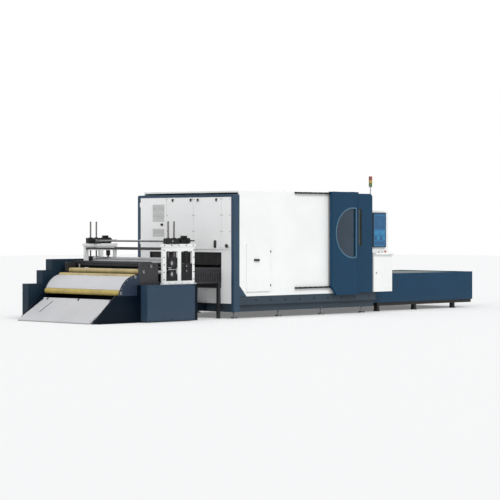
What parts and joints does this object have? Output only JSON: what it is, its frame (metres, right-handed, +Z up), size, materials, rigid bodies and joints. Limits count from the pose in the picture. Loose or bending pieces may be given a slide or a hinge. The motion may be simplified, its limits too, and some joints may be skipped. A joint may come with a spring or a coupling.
{
  "type": "coil-fed laser cutting machine",
  "caption": "Coil-fed fiber laser cutter: infeed ramp and arc table, servo roll feeder, navy and white enclosure with sliding door, hung console, outfeed belt conveyor.",
  "frame": {"origin": "bottom centre of the whole line's bounding box, on the floor", "axes": "+X along the strip's travel, from the ramp to the outfeed conveyor; +Y away from the operator side; +Z up"},
  "size_m": [9.699, 2.61, 2.465],
  "materials": {
    "navy_paint": "satin powder coat",
    "cover_paint": "satin powder coat",
    "dark_paint": "satin powder coat",
    "white_paint": "fine powder coat",
    "light_grey_paint": "fine powder coat",
    "black_paint": "satin",
    "steel": "ground",
    "chrome_steel": "hard chrome, polished",
    "roller_yellow": "polyurethane sleeve",
    "roller_tan": "polyurethane sleeve",
    "aluminium": "milled",
    "dark_mechanism": "blackened",
    "laser_glass": "tinted laser-safe pane",
    "screen": "touch screen in a dark bezel",
    "belt": "smooth conveyor belt",
    "green_plastic": "moulded",
    "red_plastic": "moulded",
    "lens_plastic": "moulded lenses in three colours",
    "zinc": "zinc plated"
  },
  "bodies": {
    "machine": {"infeed_base": "dark_paint", "infeed_front_cover": "cover_paint", "drive_housing": "navy_paint", "arc_side_plates": "navy_paint", "arc_apron": "light_grey_paint", "entry_frames": "dark_mechanism", "feeder_frames": "white_paint", "feeder_ties": "dark_mechanism", "fixed_bearings": "dark_mechanism", "lift_drives": "black_paint", "bed": "navy_paint", "levelling_feet": "zinc", "inlet_portal": "navy_paint", "end_wall": "white_paint", "transfer_table": "dark_mechanism", "service_panels": "white_paint", "panel_handles": "black_paint", "front_wall": "white_paint", "door_rails": "black_paint", "outlet_portal": "navy_paint", "strip_window": "laser_glass", "roof": "white_paint", "rear_wall": "white_paint", "slat_bed": "steel", "gantry_supports": "dark_paint", "console_cabinet": "white_paint", "console_screen": "screen", "signal_pole": "aluminium", "signal_lenses": "lens_plastic", "conveyor_skirt": "navy_paint", "conveyor_belt": "belt", "conveyor_frame": "black_paint"},
    "ramp": {"ramp_plate": "light_grey_paint"},
    "lower_strip_roller": {"lower_strip_roller": "roller_yellow"},
    "upper_strip_roller": {"upper_strip_roller": "roller_tan"},
    "top_strip_roller": {"top_strip_roller": "roller_tan"},
    "holddown_roller": {"holddown_roller": "dark_mechanism"},
    "front_edge_guide": {"front_edge_guide": "steel"},
    "rear_edge_guide": {"rear_edge_guide": "steel"},
    "roll_lift": {"upper_chocks": "dark_mechanism", "lift_spindles": "steel"},
    "lower_feed_roll": {"lower_feed_roll": "chrome_steel"},
    "upper_feed_roll": {"upper_feed_roll": "chrome_steel"},
    "lower_exit_roll": {"lower_exit_roll": "chrome_steel"},
    "upper_exit_roll": {"upper_exit_roll": "chrome_steel"},
    "cross_shaft": {"cross_shaft": "steel"},
    "cabinet_door": {"cabinet_door": "white_paint"},
    "cabinet_latch": {"cabinet_latch": "black_paint"},
    "access_door": {"access_door": "white_paint", "access_handle": "black_paint"},
    "sliding_door": {"sliding_door": "navy_paint", "door_window": "laser_glass", "window_trim": "light_grey_paint"},
    "gantry": {"gantry": "aluminium"},
    "carriage": {"carriage": "black_paint"},
    "cutting_head": {"cutting_head": "aluminium"},
    "start_button": {"start_button": "green_plastic"},
    "emergency_stop": {"emergency_stop": "red_plastic"},
    "tail_roller": {"tail_roller": "steel"},
    "drive_roller": {"drive_roller": "steel"}
  },
  "joints": [
    {"name": "ramp_lift", "type": "hinge", "parent": "machine", "child": "ramp", "pos_m": [-4.29155, 0.015, 0.35], "axis": [0, 1, 0], "range_deg": [0, 50]},
    {"name": "lower_strip_roller_spin", "type": "hinge", "parent": "machine", "child": "lower_strip_roller", "pos_m": [-4.22434, 0.015, 0.48495], "axis": [0, 1, 0], "continuous": true},
    {"name": "upper_strip_roller_spin", "type": "hinge", "parent": "machine", "child": "upper_strip_roller", "pos_m": [-3.91588, 0.015, 0.73923], "axis": [0, 1, 0], "continuous": true},
    {"name": "top_strip_roller_spin", "type": "hinge", "parent": "machine", "child": "top_strip_roller", "pos_m": [-3.72055, 0.015, 0.817], "axis": [0, 1, 0], "continuous": true},
    {"name": "holddown_roller_spin", "type": "hinge", "parent": "machine", "child": "holddown_roller", "pos_m": [-3.56055, 0.015, 0.905], "axis": [0, 1, 0], "continuous": true},
    {"name": "front_edge_guide_slide", "type": "slide", "parent": "machine", "child": "front_edge_guide", "axis": [0, 1, 0], "range_m": [0, 0.35]},
    {"name": "rear_edge_guide_slide", "type": "slide", "parent": "machine", "child": "rear_edge_guide", "axis": [0, -1, 0], "range_m": [0, 0.35]},
    {"name": "roll_lift_slide", "type": "slide", "parent": "machine", "child": "roll_lift", "axis": [0, 0, 1], "range_m": [0, 0.06]},
    {"name": "cross_shaft_turn", "type": "hinge", "parent": "machine", "child": "cross_shaft", "pos_m": [-3.15155, 0.015, 1.312], "axis": [0, 1, 0], "range_deg": [0, 2160]},
    {"name": "lower_feed_roll_spin", "type": "hinge", "parent": "machine", "child": "lower_feed_roll", "pos_m": [-3.15155, 0.015, 0.772], "axis": [0, 1, 0], "continuous": true},
    {"name": "upper_feed_roll_spin", "type": "hinge", "parent": "roll_lift", "child": "upper_feed_roll", "pos_m": [-3.15155, 0.015, 0.9525], "axis": [0, 1, 0], "continuous": true},
    {"name": "lower_exit_roll_spin", "type": "hinge", "parent": "machine", "child": "lower_exit_roll", "pos_m": [-2.82005, 0.015, 0.822], "axis": [0, 1, 0], "continuous": true},
    {"name": "upper_exit_roll_spin", "type": "hinge", "parent": "machine", "child": "upper_exit_roll", "pos_m": [-2.82005, 0.015, 0.9025], "axis": [0, 1, 0], "continuous": true},
    {"name": "cabinet_door_swing", "type": "hinge", "parent": "machine", "child": "cabinet_door", "pos_m": [-1.93855, 1.148, 1.17], "axis": [0, 0, -1], "range_deg": [0, 110]},
    {"name": "cabinet_latch_turn", "type": "hinge", "parent": "cabinet_door", "child": "cabinet_latch", "pos_m": [-1.93855, 0.573, 1.588], "axis": [1, 0, 0], "range_deg": [0, 90]},
    {"name": "access_door_swing", "type": "hinge", "parent": "machine", "child": "access_door", "pos_m": [-1.06255, -1.209, 0.45], "axis": [0, 0, 1], "range_deg": [0, 110]},
    {"name": "sliding_door_slide", "type": "slide", "parent": "machine", "child": "sliding_door", "axis": [-1, 0, 0], "range_m": [0, 0.8]},
    {"name": "gantry_slide", "type": "slide", "parent": "machine", "child": "gantry", "axis": [1, 0, 0], "range_m": [-0.25, 1.9]},
    {"name": "carriage_slide", "type": "slide", "parent": "gantry", "child": "carriage", "axis": [0, 1, 0], "range_m": [-0.65, 0.95]},
    {"name": "cutting_head_slide", "type": "slide", "parent": "carriage", "child": "cutting_head", "axis": [0, 0, 1], "range_m": [0, 0.1]},
    {"name": "start_button_press", "type": "slide", "parent": "machine", "child": "start_button", "axis": [0, 0, -1], "range_m": [0, 0.004], "stiffness_N_per_m": 400},
    {"name": "emergency_stop_press", "type": "slide", "parent": "machine", "child": "emergency_stop", "axis": [0, 0, -1], "range_m": [0, 0.006], "stiffness_N_per_m": 1000},
    {"name": "tail_roller_spin", "type": "hinge", "parent": "machine", "child": "tail_roller", "pos_m": [1.72345, 0.015, 0.6015], "axis": [0, 1, 0], "continuous": true},
    {"name": "drive_roller_spin", "type": "hinge", "parent": "machine", "child": "drive_roller", "pos_m": [4.70545, 0.015, 0.6015], "axis": [0, 1, 0], "continuous": true}
  ],
  "couplings": [
    {"joint": "cross_shaft_turn", "follows": "roll_lift_slide", "rad_per_m": 628.32},
    {"joint": "upper_feed_roll_spin", "follows": "lower_feed_roll_spin", "ratio": -1},
    {"joint": "upper_exit_roll_spin", "follows": "lower_exit_roll_spin", "ratio": -1},
    {"joint": "tail_roller_spin", "follows": "drive_roller_spin", "ratio": 1}
  ]
}
